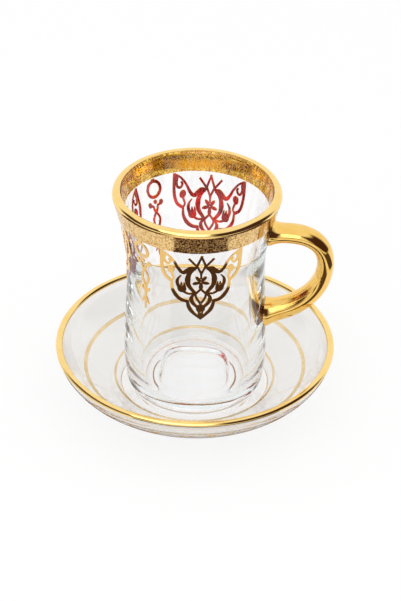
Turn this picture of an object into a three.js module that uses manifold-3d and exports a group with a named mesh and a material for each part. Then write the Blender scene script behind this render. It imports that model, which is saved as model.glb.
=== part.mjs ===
// A handled tea glass with gold decoration, standing on its matching glass saucer.
// Millimetres, +Z up. The origin is the centre of the saucer's foot, on the table.
// The handle points along +X, and one medallion faces close to -Y.

import * as THREE from 'three';
import { mergeVertices } from 'three/addons/utils/BufferGeometryUtils.js';
import Module from 'manifold-3d';

const wasm = await Module();
wasm.setup();

// Saucer
const DISH_RADIUS = 60;
const DISH_HEIGHT = 25.2;
const DISH_LIP_THICKNESS = 2.4;
const DISH_FLOOR_RADIUS = 27;
const DISH_FLOOR_HEIGHT = 4;
const DISH_FLOOR_THICKNESS = 3;
const DISH_SLOPE_RISE = 5.5;
const DISH_SLOPE_REACH = 14;
const DISH_SIDE_RISE = 9.1;
const DISH_SIDE_LEAN = 1.3;
const FOOT_RADIUS = 33;
const FOOT_WIDTH = 5;
const FOOT_EDGE = 1.2;
const UNDERSIDE_BELLY_RADIUS = 57.8;
const UNDERSIDE_BELLY_HEIGHT = 11;
const OUTER_LINE_RADIUS = 47.4;
const OUTER_LINE_WIDTH = 1.5;
const INNER_LINE_RADIUS = 34.6;
const INNER_LINE_WIDTH = 0.9;

// Glass, with heights measured from its own base
const GLASS_HEIGHT = 96.6;
const GLASS_RIM_RADIUS = 35;
const GLASS_LIP_THICKNESS = 3.8;
const BASE_REST_RADIUS = 24.6;
const BASE_RECESS_RADIUS = 19;
const BASE_RECESS_DEPTH = 0.8;
const HEEL_RADIUS = 29.6;
const HEEL_HEIGHT = 6;
const BELLY_RADIUS = 30.5;
const BELLY_HEIGHT = 21;
const WAIST_RADIUS = 28.95;
const WAIST_HEIGHT = 59;
const SHOULDER_RADIUS = 30.2;
const SHOULDER_HEIGHT = 74;
const FLARE_RADIUS = 32.6;
const FLARE_HEIGHT = 86.3;
const FLOOR_THICKNESS = 3.8;
const FLOOR_HALF_WIDTH = 13.8;
const FLOOR_SQUARENESS = 3.5;
const FLOOR_STEP_RISE = 1.5;
const FLOOR_STEP_RUN = 1.8;
const FLOOR_FILLET = 4;
const HOLLOW_FOOT_RADIUS = 23.8;
const WALL_AT_BELLY = 5.8;
const WALL_AT_WAIST = 4.3;
const WALL_AT_SHOULDER = 3.3;
const WALL_AT_FLARE = 3.2;

// Handle
const HANDLE_UPPER_HEIGHT = 77.1;
const HANDLE_LOWER_HEIGHT = 37;
const HANDLE_BEND_HEIGHT = 63;
const HANDLE_REACH = 57.7;
const HANDLE_BEND_START = 38;
const HANDLE_WIDTH = 11;
const HANDLE_UPPER_THICKNESS = 7.6;
const HANDLE_BEND_THICKNESS = 7.2;
const HANDLE_LOWER_THICKNESS = 10;
const HANDLE_BEND_SHARE = 0.45;
const HANDLE_ROOT_RADIUS = 26.4;
const HANDLE_ROOT_LIFT = 2.5;
const HANDLE_TOP_FULLNESS = 0.7;
const HANDLE_SHOULDER_FULLNESS = 0.57;
const HANDLE_ELBOW_FULLNESS = 0.54;
const HANDLE_LOWER_FULLNESS = 0.68;
const HANDLE_JOINT_FLARE = 1.4;
const HANDLE_JOINT_LENGTH = 6;

// Gold layers
const FILM_THICKNESS = 0.2;
const FILM_GAP = 0.15;
const DISH_LIP_GOLD_ANGLE = 180;
const GLASS_LIP_GOLD_ANGLE = 120;
const BAND_WIDTH = 8;
const BAND_LIP_GAP = 0.3;
const ORNAMENT_GAP = 0.4;
const MEDALLION_HEIGHT = 34;
const MEDALLION_WIDTH = 34.5;
const MEDALLION_ANGLE = 82.5;
const PENDANT_HEIGHT = 34.5;
const PENDANT_WIDTH = 8.2;
const PENDANT_ANGLE = 131.25;

// Fits between pieces
const REST_GAP = 0.05;
const HANDLE_GAP = 0.3;

// Fineness of the round shapes
const DISH_SIDES = 60;
const GLASS_SIDES = 54;
const HANDLE_SIDES = 16;
const HANDLE_STEPS = 30;

const FILM_TOTAL = FILM_GAP + FILM_THICKNESS;
const point = (r, z) => new THREE.Vector2(r, z);

const clearGlass = new THREE.MeshStandardMaterial({
  color: 0xf2f4f2, roughness: 0.03, metalness: 0, transparent: true, opacity: 0.3,
});
const gold = new THREE.MeshStandardMaterial({ color: 0xe9a83a, roughness: 0.12, metalness: 1 });
const etchedGold = new THREE.MeshStandardMaterial({ color: 0xd9a355, roughness: 0.35, metalness: 1 });
const paleGold = new THREE.MeshStandardMaterial({ color: 0xf0d79a, roughness: 0.25, metalness: 1 });

// A closed section turned about the vertical axis. The section runs round its inside on the left.
function turned(section, sides) {
  const geometry = new THREE.LatheGeometry(section, sides);
  geometry.rotateX(Math.PI / 2);
  return geometry;
}

// The part of a section line that lies over a thin film, pushed out by the film's gap and thickness.
function filmSection(line) {
  const near = [];
  const far = [];
  line.forEach((here, i) => {
    const before = line[Math.max(i - 1, 0)];
    const after = line[Math.min(i + 1, line.length - 1)];
    const along = after.clone().sub(before).normalize();
    const outward = point(along.y, -along.x);
    near.push(here.clone().addScaledVector(outward, FILM_GAP));
    far.push(here.clone().addScaledVector(outward, FILM_TOTAL));
  });
  const loop = [...far, ...near.reverse()];
  return [...loop, loop[0].clone()];
}

// The arc over a rounded lip, from its outer side over the top and inwards through an angle.
function lipArc(centre, radius, angleDegrees) {
  const angle = THREE.MathUtils.degToRad(angleDegrees);
  const arc = new THREE.EllipseCurve(centre.x, centre.y, radius, radius, 0, angle);
  return arc.getPoints(6);
}

// The closed section of the film over a rounded lip, between two arcs with one centre.
function lipFilm(centre, thickness, angleDegrees) {
  const far = lipArc(centre, thickness / 2 + FILM_TOTAL, angleDegrees);
  const near = lipArc(centre, thickness / 2 + FILM_GAP, angleDegrees);
  return [...far, ...near.reverse(), far[0].clone()];
}

// The radius of a rising section line at one height, or at its end for anything above.
function radiusAtHeight(line, height) {
  const above = line.findIndex((p, i) => i > 0 && p.y >= height);
  if (above < 0) {
    return line[line.length - 1].x;
  }
  const b = line[above];
  const a = line[above - 1];
  return a.x + (b.x - a.x) * (height - a.y) / (b.y - a.y);
}

// Saucer: its lip, its upper line from the lip in to the floor, and its underside
const dishLipCentre = point(
  DISH_RADIUS - FILM_TOTAL - DISH_LIP_THICKNESS / 2,
  DISH_HEIGHT - FILM_TOTAL - DISH_LIP_THICKNESS / 2,
);
const dishLip = lipArc(dishLipCentre, DISH_LIP_THICKNESS / 2, 180);
const dishInnerEdge = dishLip[dishLip.length - 1];
const dishUpperCurve = new THREE.CubicBezierCurve(
  dishInnerEdge,
  point(dishInnerEdge.x - DISH_SIDE_LEAN, dishInnerEdge.y - DISH_SIDE_RISE),
  point(DISH_FLOOR_RADIUS + DISH_SLOPE_REACH, DISH_FLOOR_HEIGHT + DISH_SLOPE_RISE),
  point(DISH_FLOOR_RADIUS, DISH_FLOOR_HEIGHT),
);
const dishUndersideCurve = new THREE.QuadraticBezierCurve(
  point(FOOT_RADIUS, FOOT_EDGE),
  point(UNDERSIDE_BELLY_RADIUS, UNDERSIDE_BELLY_HEIGHT),
  dishLip[0],
);

function dishGeometry() {
  const ceiling = DISH_FLOOR_HEIGHT - DISH_FLOOR_THICKNESS;
  const section = [
    point(0, ceiling),
    point(FOOT_RADIUS - FOOT_WIDTH - ceiling, ceiling),
    point(FOOT_RADIUS - FOOT_WIDTH, 0),
    point(FOOT_RADIUS - FOOT_EDGE / 2, 0),
    ...dishUndersideCurve.getPoints(7),
    ...dishLip.slice(1),
    ...dishUpperCurve.getPoints(9).slice(1),
    point(0, DISH_FLOOR_HEIGHT),
  ];
  return turned(section, DISH_SIDES);
}

function dishRimGeometry() {
  return turned(lipFilm(dishLipCentre, DISH_LIP_THICKNESS, DISH_LIP_GOLD_ANGLE), DISH_SIDES);
}

// A gold line round the saucer, at one radius of its upper surface.
function dishLineGeometry(radius, width) {
  const upper = dishUpperCurve.getPoints(200);
  const line = upper.filter((p) => Math.abs(p.x - radius) < width / 2);
  return turned(filmSection([line[0], line[line.length - 1]]), DISH_SIDES);
}

// Glass: its outer line from the heel to the lip, and its lip
const glassLipCentre = point(
  GLASS_RIM_RADIUS - FILM_TOTAL - GLASS_LIP_THICKNESS / 2,
  GLASS_HEIGHT - FILM_TOTAL - GLASS_LIP_THICKNESS / 2,
);
const glassLip = lipArc(glassLipCentre, GLASS_LIP_THICKNESS / 2, 180);
const glassInnerEdge = glassLip[glassLip.length - 1];
const glassOuterLine = new THREE.SplineCurve([
  point(HEEL_RADIUS, HEEL_HEIGHT),
  point(BELLY_RADIUS, BELLY_HEIGHT),
  point(WAIST_RADIUS, WAIST_HEIGHT),
  point(SHOULDER_RADIUS, SHOULDER_HEIGHT),
  point(FLARE_RADIUS, FLARE_HEIGHT),
  glassLip[0],
]).getPoints(15);

function heelLine() {
  const across = HEEL_RADIUS - BASE_REST_RADIUS;
  const arc = new THREE.EllipseCurve(
    BASE_REST_RADIUS, HEEL_HEIGHT, across, HEEL_HEIGHT, -Math.PI / 2, 0,
  );
  return arc.getPoints(4);
}

// The hollow's line from the lip down the wall, round the fillet and down the step to the floor.
function glassInnerLine() {
  const shelf = FLOOR_THICKNESS + FLOOR_STEP_RISE;
  const wall = new THREE.SplineCurve([
    glassInnerEdge,
    point(FLARE_RADIUS - WALL_AT_FLARE, FLARE_HEIGHT),
    point(SHOULDER_RADIUS - WALL_AT_SHOULDER, SHOULDER_HEIGHT),
    point(WAIST_RADIUS - WALL_AT_WAIST, WAIST_HEIGHT),
    point(BELLY_RADIUS - WALL_AT_BELLY, BELLY_HEIGHT),
    point(HOLLOW_FOOT_RADIUS, shelf + FLOOR_FILLET),
  ]);
  const fillet = new THREE.EllipseCurve(
    HOLLOW_FOOT_RADIUS - FLOOR_FILLET, shelf + FLOOR_FILLET,
    FLOOR_FILLET, FLOOR_FILLET, 0, -Math.PI / 2, true,
  );
  return [
    ...wall.getPoints(10),
    ...fillet.getPoints(4).slice(1),
    point(FLOOR_HALF_WIDTH + FLOOR_STEP_RUN, shelf),
    point(FLOOR_HALF_WIDTH, FLOOR_THICKNESS),
    point(0, FLOOR_THICKNESS),
  ];
}

// How far a rounded square reaches past its half width, in one direction.
function squareReach(angle) {
  const c = Math.abs(Math.cos(angle)) ** FLOOR_SQUARENESS;
  const s = Math.abs(Math.sin(angle)) ** FLOOR_SQUARENESS;
  return (c + s) ** (-1 / FLOOR_SQUARENESS);
}

// Makes the floor and the step round it a rounded square. Their points are the last of the section.
function squareTheFloor(geometry, sectionLength, floorLength) {
  const position = geometry.getAttribute('position');
  for (let i = 0; i < position.count; i++) {
    if (i % sectionLength >= sectionLength - floorLength) {
      const [x, y] = [position.getX(i), position.getY(i)];
      const reach = squareReach(Math.atan2(y, x));
      position.setXY(i, x * reach, y * reach);
    }
  }
}

function glassBodyGeometry() {
  const section = [
    point(0, BASE_RECESS_DEPTH),
    point(BASE_RECESS_RADIUS - BASE_RECESS_DEPTH, BASE_RECESS_DEPTH),
    point(BASE_RECESS_RADIUS, 0),
    ...heelLine(),
    ...glassOuterLine.slice(1),
    ...glassLip.slice(1),
    ...glassInnerLine().slice(1),
  ];
  const geometry = turned(section, GLASS_SIDES);
  squareTheFloor(geometry, section.length, 3);
  return geometry;
}

function rimLipGeometry() {
  return turned(lipFilm(glassLipCentre, GLASS_LIP_THICKNESS, GLASS_LIP_GOLD_ANGLE), GLASS_SIDES);
}

// The gold band ends just under the lip's gold, and the ornament hangs from the band.
const bandBottom = glassLipCentre.y - BAND_LIP_GAP - BAND_WIDTH;

function rimBandGeometry() {
  const steps = 3;
  const line = [];
  for (let i = 0; i <= steps; i++) {
    const height = bandBottom + BAND_WIDTH * i / steps;
    line.push(point(radiusAtHeight(glassOuterLine, height), height));
  }
  return turned(filmSection(line), GLASS_SIDES);
}

// Solids for joining and cutting
function toSolid(geometry) {
  const bare = geometry.clone();
  bare.deleteAttribute('normal');
  bare.deleteAttribute('uv');
  const merged = mergeVertices(bare, 1e-4);
  return new wasm.Manifold(new wasm.Mesh({
    numProp: 3,
    vertProperties: new Float32Array(merged.getAttribute('position').array),
    triVerts: new Uint32Array(merged.index.array),
  }));
}

function toGeometry(solid) {
  const mesh = solid.getMesh();
  const geometry = new THREE.BufferGeometry();
  geometry.setAttribute('position', new THREE.BufferAttribute(mesh.vertProperties.slice(), 3));
  geometry.setIndex(new THREE.BufferAttribute(mesh.triVerts.slice(), 1));
  return geometry;
}

// Handle: a straight rod bent along its line, with an oval section that changes along the way
function handleCurve() {
  const bend = HANDLE_REACH - HANDLE_BEND_THICKNESS / 2;
  const root = HANDLE_ROOT_RADIUS;
  const upperDrop = HANDLE_UPPER_HEIGHT - HANDLE_BEND_HEIGHT;
  const lowerDrop = HANDLE_BEND_HEIGHT - HANDLE_LOWER_HEIGHT;
  const at = (x, z) => new THREE.Vector3(x, 0, z);
  const curve = new THREE.CurvePath();
  curve.add(new THREE.LineCurve3(
    at(root, HANDLE_UPPER_HEIGHT),
    at(HANDLE_BEND_START, HANDLE_UPPER_HEIGHT),
  ));
  curve.add(new THREE.CubicBezierCurve3(
    at(HANDLE_BEND_START, HANDLE_UPPER_HEIGHT),
    at(HANDLE_BEND_START + (bend - HANDLE_BEND_START) * HANDLE_TOP_FULLNESS, HANDLE_UPPER_HEIGHT),
    at(bend, HANDLE_BEND_HEIGHT + upperDrop * HANDLE_SHOULDER_FULLNESS),
    at(bend, HANDLE_BEND_HEIGHT),
  ));
  curve.add(new THREE.CubicBezierCurve3(
    at(bend, HANDLE_BEND_HEIGHT),
    at(bend, HANDLE_LOWER_HEIGHT + lowerDrop * HANDLE_ELBOW_FULLNESS),
    at(root + (bend - root) * HANDLE_LOWER_FULLNESS, HANDLE_LOWER_HEIGHT + HANDLE_ROOT_LIFT),
    at(root, HANDLE_LOWER_HEIGHT),
  ));
  return curve;
}

function handleThickness(t) {
  const { lerp, smoothstep } = THREE.MathUtils;
  return t < HANDLE_BEND_SHARE
    ? lerp(HANDLE_UPPER_THICKNESS, HANDLE_BEND_THICKNESS, smoothstep(t, 0, HANDLE_BEND_SHARE))
    : lerp(HANDLE_BEND_THICKNESS, HANDLE_LOWER_THICKNESS, smoothstep(t, HANDLE_BEND_SHARE, 1));
}

// How far the handle swells where it melts into the wall.
function handleFlare(centre) {
  const fromWall = Math.max(centre.x - radiusAtHeight(glassOuterLine, centre.z), 0);
  const near = Math.max(1 - fromWall / HANDLE_JOINT_LENGTH, 0);
  return HANDLE_JOINT_FLARE * near * near;
}

function handleGeometry() {
  const rod = new THREE.CylinderGeometry(0.5, 0.5, 1, HANDLE_SIDES, HANDLE_STEPS);
  const curve = handleCurve();
  const position = rod.getAttribute('position');
  for (let i = 0; i < position.count; i++) {
    const t = 0.5 - position.getY(i);
    const centre = curve.getPointAt(t);
    const along = curve.getTangentAt(t);
    const swell = handleFlare(centre) * 2;
    const across = position.getX(i) * (handleThickness(t) + swell);
    position.setXYZ(
      i,
      centre.x + along.z * across,
      position.getZ(i) * (HANDLE_WIDTH + swell),
      centre.z - along.x * across,
    );
  }
  return toGeometry(toSolid(rod).subtract(glassEnvelope()));
}

// The whole glass as a plain turned solid, grown by the handle's gap.
function glassEnvelope() {
  const side = glassOuterLine.map((p) => point(p.x + HANDLE_GAP, p.y));
  const section = [
    point(0, HEEL_HEIGHT),
    ...side,
    point(0, side[side.length - 1].y),
  ];
  return toSolid(turned(section, GLASS_SIDES));
}

// Ornament: flat gold plates drawn with u to the right and v up, then bent round the glass

// A ribbon along a curve that swells from one width to another at its middle and back at its end.
function ribbon(curve, steps, startWidth, middleWidth, endWidth) {
  const left = [];
  const right = [];
  for (let i = 0; i <= steps; i++) {
    const t = i / steps;
    const from = t < 0.5 ? startWidth : endWidth;
    const width = THREE.MathUtils.lerp(middleWidth, from, Math.abs(t - 0.5) * 2);
    const here = curve.getPoint(t);
    const along = curve.getTangent(t);
    const side = point(-along.y, along.x).multiplyScalar(width / 2);
    left.push(here.clone().add(side));
    right.push(here.clone().sub(side));
  }
  return new THREE.Shape([...left, ...right.reverse()]);
}

function oval(u, v, halfWidth, halfHeight, turn, steps) {
  const curve = new THREE.EllipseCurve(u, v, halfWidth, halfHeight, 0, Math.PI * 2, false, turn);
  return new THREE.Shape(curve.getPoints(steps).slice(0, steps));
}

function ovalRing(u, v, halfWidth, halfHeight, width, steps) {
  const ring = oval(u, v, halfWidth, halfHeight, 0, steps);
  const hole = new THREE.EllipseCurve(u, v, halfWidth - width, halfHeight - width, 0, Math.PI * 2);
  ring.holes.push(new THREE.Path(hole.getPoints(steps).slice(0, steps)));
  return ring;
}

function line(...places) {
  return new THREE.SplineCurve(places.map(([u, v]) => point(u, v)));
}

function petals(u, v, count, length, width, firstAngle) {
  const shapes = [];
  for (let i = 0; i < count; i++) {
    const angle = firstAngle + i * Math.PI * 2 / count;
    const reach = length * 0.55;
    shapes.push(oval(
      u + Math.cos(angle) * reach, v + Math.sin(angle) * reach, length / 2, width / 2, angle, 8,
    ));
  }
  return shapes;
}

// The right half of a medallion, from its tip at v = 0 up to the band.
function medallionHalf() {
  const border = [
    ribbon(line([16.7, 34], [16.6, 29], [16.2, 24.2], [14.8, 20.4], [11.8, 18]), 8, 1.2, 1.5, 1.4),
    ribbon(line([12, 18.2], [11.8, 14.6], [10.2, 11.4], [7.9, 9.4], [5, 8.8]), 6, 1, 1.8, 1.5),
    ribbon(line([5.4, 9.2], [4.8, 6.2], [3.2, 3.6], [0, 0.5]), 5, 1.3, 1.8, 0.9),
    ribbon(line([16.4, 33.6], [13.4, 31.6], [10.9, 28.5], [9.5, 25.8], [8.2, 24]), 7, 0.8, 1.1, 1.6),
    ribbon(line([8.7, 24.3], [7.1, 23.6], [5.6, 24.8], [4, 26.2], [2, 26]), 6, 1.5, 2.2, 1.8),
  ];
  const window = [
    ribbon(line([2, 26.8], [4.6, 23.6], [5.4, 20], [4.8, 16.6], [2.2, 13]), 7, 1.2, 2.4, 1.3),
    ribbon(line([-0.2, 33], [1.8, 27.3]), 2, 1, 1, 1.1),
    ribbon(line([1.9, 27.8], [-0.2, 22.9]), 2, 1.1, 1, 1),
    ribbon(line([5.1, 31.4], [1.5, 26.8]), 2, 1, 1, 1),
    ribbon(line([-0.3, 15.4], [2.2, 12.6]), 2, 1, 1, 1.1),
    ribbon(line([2.1, 13], [1.8, 10.8], [-0.2, 7.4]), 3, 1, 1, 1.1),
    ribbon(line([2.5, 12.8], [3.8, 10.6], [3.2, 8.2], [0.8, 5.6]), 4, 0.9, 1.9, 1.1),
  ];
  const bud = [
    ribbon(line([2.4, 13], [5, 12.6], [7, 13.6]), 4, 0.9, 1, 1.2),
    oval(7.7, 14.9, 1.9, 1.9, -0.3, 8),
    ribbon(line([6.8, 14.8], [6.6, 16.4], [6.9, 18.4]), 3, 1.8, 1.2, 0.4),
    ribbon(line([7.7, 15.2], [8, 18.4]), 2, 1.8, 1.2, 0.4),
    ribbon(line([8.6, 15], [9.6, 17.6], [9.4, 20], [8.1, 22]), 4, 1.6, 1.4, 0.5),
  ];
  const wing = [
    ribbon(line([12, 18.2], [11.3, 20], [11.9, 22], [12.4, 24]), 4, 0.9, 1, 1.2),
    oval(12.4, 24.4, 1.5, 1.9, 0.2, 8),
    ribbon(line([16.2, 33.4], [15.7, 31.6], [15.6, 29.8]), 3, 0.6, 2.2, 1.2),
    ribbon(line([15.6, 30.2], [15, 28], [13.6, 27.4], [12.7, 28.8], [13.4, 30]), 7, 1.2, 1.1, 1),
  ];
  return [...border, ...window, ...bud, ...wing];
}

// What stands on a medallion's middle line: the flower, its stem and the foot of the leaves.
function medallionMiddle() {
  return [
    ribbon(line([0, 24], [0, 20.4]), 2, 1.1, 0.9, 0.9),
    ...petals(0, 18.8, 5, 3.5, 1.6, -Math.PI / 2),
    ribbon(line([0, 17], [0, 14.8]), 2, 1.6, 1.8, 1),
    oval(0, 5.4, 1.9, 2, 0, 8),
    ribbon(line([0, 4.8], [0, 0]), 2, 2.4, 2.2, 0.5),
  ];
}

// The right half of a pendant: side bud, long loop, leaves and arrow tip.
function pendantHalf() {
  return [
    ribbon(line([-0.1, 19], [0.9, 21], [1.3, 22.4], [2.8, 22.9]), 4, 1.4, 1, 1.2),
    oval(3, 23.4, 1, 1.3, -0.3, 7),
    ribbon(line([-0.1, 19.6], [1.6, 16.6], [1.3, 13.6], [-0.1, 10.6]), 5, 1, 1.1, 1),
    ribbon(line([0, 9.8], [1.4, 9.3], [2.1, 10.7]), 3, 1.2, 1.1, 0.8),
    ribbon(line([0, 6], [2, 2.8]), 2, 1.2, 1.1, 0.4),
  ];
}

// What stands on a pendant's middle line: the ring, its knob, a bud on a fine stem and the lower stem.
function pendantMiddle() {
  return [
    ovalRing(0, 29.9, 4.1, 4.2, 1.4, 16),
    ribbon(line([0, 34.5], [0, 33.4]), 1, 2, 1.8, 1.4),
    oval(0, 24.2, 0.9, 1, 0, 8),
    ribbon(line([0, 26.2], [0, 19]), 2, 0.4, 0.4, 0.4),
    ribbon(line([0, 11.2], [0, 0]), 4, 1.5, 1.1, 0.6),
  ];
}

// Joins flat shapes into one plate of the film's thickness and brings it to a set width and height.
// The half shapes are used twice, mirrored.
function plateSolid(half, middle, width, height) {
  const flat = (shape) => new THREE.ExtrudeGeometry(shape, {
    depth: FILM_THICKNESS, bevelEnabled: false, curveSegments: 8,
  });
  let joined = toSolid(flat(middle[0]));
  for (const shape of middle.slice(1)) {
    joined = joined.add(toSolid(flat(shape)));
  }
  for (const shape of half) {
    const right = toSolid(flat(shape));
    joined = joined.add(right).add(right.mirror([1, 0, 0]));
  }
  const { min, max } = joined.boundingBox();
  const stretch = [width / (max[0] - min[0]), height / (max[1] - min[1]), 1];
  return joined.translate([0, -min[1], 0]).scale(stretch);
}

// Bends a flat plate round the glass, its top just under the gold band, at one angle from the handle.
function bentPlate(plate, height, angleDegrees) {
  const geometry = toGeometry(plate);
  const position = geometry.getAttribute('position');
  const foot = bandBottom - ORNAMENT_GAP - height;
  const middle = THREE.MathUtils.degToRad(angleDegrees);
  for (let i = 0; i < position.count; i++) {
    const z = foot + position.getY(i);
    const wall = radiusAtHeight(glassOuterLine, z);
    const angle = middle + position.getX(i) / wall;
    const radius = wall + FILM_GAP + position.getZ(i);
    position.setXYZ(i, radius * Math.cos(angle), radius * Math.sin(angle), z);
  }
  return geometry;
}

function piece(name, geometry, material) {
  const mesh = new THREE.Mesh(geometry, material);
  mesh.name = name;
  return mesh;
}

const medallion = plateSolid(medallionHalf(), medallionMiddle(), MEDALLION_WIDTH, MEDALLION_HEIGHT);
const pendant = plateSolid(pendantHalf(), pendantMiddle(), PENDANT_WIDTH, PENDANT_HEIGHT);

const saucer = new THREE.Group();
saucer.add(
  piece('saucer_dish', dishGeometry(), clearGlass),
  piece('saucer_rim_gold', dishRimGeometry(), gold),
  piece('saucer_outer_line', dishLineGeometry(OUTER_LINE_RADIUS, OUTER_LINE_WIDTH), paleGold),
  piece('saucer_inner_line', dishLineGeometry(INNER_LINE_RADIUS, INNER_LINE_WIDTH), paleGold),
);

const glass = new THREE.Group();
glass.position.z = DISH_FLOOR_HEIGHT + REST_GAP;
glass.add(
  piece('glass_body', glassBodyGeometry(), clearGlass),
  piece('handle', handleGeometry(), gold),
  piece('rim_lip_gold', rimLipGeometry(), gold),
  piece('rim_band_gold', rimBandGeometry(), etchedGold),
  piece('medallion_front', bentPlate(medallion, MEDALLION_HEIGHT, -MEDALLION_ANGLE), gold),
  piece('medallion_left', bentPlate(medallion, MEDALLION_HEIGHT, 180), gold),
  piece('medallion_back', bentPlate(medallion, MEDALLION_HEIGHT, MEDALLION_ANGLE), gold),
  piece('pendant_front', bentPlate(pendant, PENDANT_HEIGHT, -PENDANT_ANGLE), gold),
  piece('pendant_back', bentPlate(pendant, PENDANT_HEIGHT, PENDANT_ANGLE), gold),
);

const group = new THREE.Group();
group.add(saucer, glass);

export default group;
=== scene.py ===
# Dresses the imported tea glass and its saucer: fine turned glass, gilding, ornament and soft studio light.
# Lengths are written in millimetres and made in metres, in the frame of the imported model.

import math

import bmesh
import bpy
from mathutils import Matrix, Vector
from mathutils.geometry import delaunay_2d_cdt


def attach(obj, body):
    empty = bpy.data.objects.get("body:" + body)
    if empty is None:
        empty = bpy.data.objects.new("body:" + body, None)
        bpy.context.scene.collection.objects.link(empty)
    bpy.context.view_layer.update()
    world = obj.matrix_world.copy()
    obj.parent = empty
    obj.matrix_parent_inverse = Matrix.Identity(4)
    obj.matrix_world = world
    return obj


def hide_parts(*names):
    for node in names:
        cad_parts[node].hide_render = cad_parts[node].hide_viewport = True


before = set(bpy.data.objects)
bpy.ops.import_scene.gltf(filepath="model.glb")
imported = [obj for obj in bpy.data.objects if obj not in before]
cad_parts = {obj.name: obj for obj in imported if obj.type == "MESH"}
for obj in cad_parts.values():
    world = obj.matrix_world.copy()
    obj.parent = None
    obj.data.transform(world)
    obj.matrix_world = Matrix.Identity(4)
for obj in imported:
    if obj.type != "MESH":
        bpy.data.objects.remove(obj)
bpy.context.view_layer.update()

MM = 0.001

# Saucer
DISH_RADIUS = 60
DISH_HEIGHT = 25.2
DISH_LIP_THICKNESS = 2.4
DISH_FLOOR_RADIUS = 27
DISH_FLOOR_HEIGHT = 4
DISH_FLOOR_THICKNESS = 3
DISH_SLOPE_RISE = 5.5
DISH_SLOPE_REACH = 14
DISH_SIDE_RISE = 9.1
DISH_SIDE_LEAN = 1.3
FOOT_RADIUS = 33
FOOT_WIDTH = 5
FOOT_EDGE = 1.2
UNDERSIDE_BELLY_RADIUS = 57.8
UNDERSIDE_BELLY_HEIGHT = 11
OUTER_LINE_RADIUS = 47.4
OUTER_LINE_WIDTH = 1.5
INNER_LINE_RADIUS = 34.6
INNER_LINE_WIDTH = 0.9

# Glass, with heights measured from its own base
GLASS_HEIGHT = 96.6
GLASS_RIM_RADIUS = 35
GLASS_LIP_THICKNESS = 3.8
BASE_REST_RADIUS = 24.6
BASE_RECESS_RADIUS = 19
BASE_RECESS_DEPTH = 0.8
HEEL_RADIUS = 29.6
HEEL_HEIGHT = 6
BELLY_RADIUS = 30.5
BELLY_HEIGHT = 21
WAIST_RADIUS = 28.95
WAIST_HEIGHT = 59
SHOULDER_RADIUS = 30.2
SHOULDER_HEIGHT = 74
FLARE_RADIUS = 32.6
FLARE_HEIGHT = 86.3
FLOOR_THICKNESS = 3.8
FLOOR_HALF_WIDTH = 13.8
FLOOR_SQUARENESS = 3.5
FLOOR_STEP_RISE = 1.5
FLOOR_STEP_RUN = 1.8
FLOOR_FILLET = 4
HOLLOW_FOOT_RADIUS = 23.8
WALL_AT_BELLY = 5.8
WALL_AT_WAIST = 4.3
WALL_AT_SHOULDER = 3.3
WALL_AT_FLARE = 3.2

# Handle
HANDLE_UPPER_HEIGHT = 77.1
HANDLE_LOWER_HEIGHT = 37
HANDLE_BEND_HEIGHT = 63
HANDLE_REACH = 57.7
HANDLE_BEND_START = 38
HANDLE_WIDTH = 11
HANDLE_UPPER_THICKNESS = 7.6
HANDLE_BEND_THICKNESS = 7.2
HANDLE_LOWER_THICKNESS = 10
HANDLE_BEND_SHARE = 0.45
HANDLE_ROOT_RADIUS = 26.4
HANDLE_ROOT_LIFT = 2.5
HANDLE_TOP_FULLNESS = 0.7
HANDLE_SHOULDER_FULLNESS = 0.57
HANDLE_ELBOW_FULLNESS = 0.54
HANDLE_LOWER_FULLNESS = 0.68
HANDLE_JOINT_FLARE = 1.4
HANDLE_JOINT_LENGTH = 6

# Gold layers: a film's face lies FILM_TOTAL off the glass and its back FILM_CONTACT, a little inside it
FILM_THICKNESS = 0.2
FILM_GAP = 0.15
FILM_TOTAL = FILM_GAP + FILM_THICKNESS
FILM_CONTACT = -0.02
FILM_SEAM = 0.03
LIP_INSET = 0.04
DISH_LIP_GOLD_ANGLE = 180
GLASS_LIP_GOLD_ANGLE = 120
BAND_WIDTH = 8
BAND_LIP_GAP = 0.3
ORNAMENT_GAP = 0.4
MEDALLION_HEIGHT = 34
MEDALLION_WIDTH = 34.5
MEDALLION_ANGLE = 82.5
PENDANT_HEIGHT = 34.5
PENDANT_WIDTH = 8.2
PENDANT_ANGLE = 131.25
PETAL_REACH_SHARE = 0.55

# Gaps and tolerances
REST_GAP = 0.05
HANDLE_SEAT_GAP = 0.1
FILM_BACK_TOLERANCE = FILM_TOTAL / 3
FLANK_TOLERANCE = 0.35
GLASS_LIFT = DISH_FLOOR_HEIGHT + REST_GAP
# Between these shares of its length the handle is clear of the wall
HANDLE_CLEAR_SHARES = (0.3, 0.7)

# Fineness of the meshes
TURN_SIDES = 180
LIP_STEPS = 18
DISH_UPPER_STEPS = 400
DISH_UPPER_SKIP = 8
DISH_UNDERSIDE_STEPS = 48
GLASS_OUTER_STEPS = 100
GLASS_INNER_STEPS = 90
HEEL_STEPS = 20
FILLET_STEPS = 16
FLOOR_STEP_STEPS = 10
FLOOR_RING_SHARES = (0.8, 0.5, 0)
BAND_STEPS = 16
HANDLE_SIDES = 48
HANDLE_STEPS = 110
HANDLE_UPPER_STEPS = 300
HANDLE_LOWER_STEPS = 500
HALVINGS = 20
RIBBON_STEPS = 6
OVAL_SIDES = 24
RING_SIDES = 40
MERGE_DISTANCE = 1e-4
SHARP_EDGE_ANGLE = 45


# Curves

def ease(share):
    """A share from 0 to 1 that starts and ends slowly."""
    return share * share * (3 - 2 * share)


def catmull_rom(t, before, start, end, after):
    """A value at share t of the smooth line from start to end, led by its neighbours."""
    lead_in = (end - before) / 2
    lead_out = (after - start) / 2
    cubic = 2 * start - 2 * end + lead_in + lead_out
    square = -3 * start + 3 * end - 2 * lead_in - lead_out
    return ((cubic * t + square) * t + lead_in) * t + start


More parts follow.
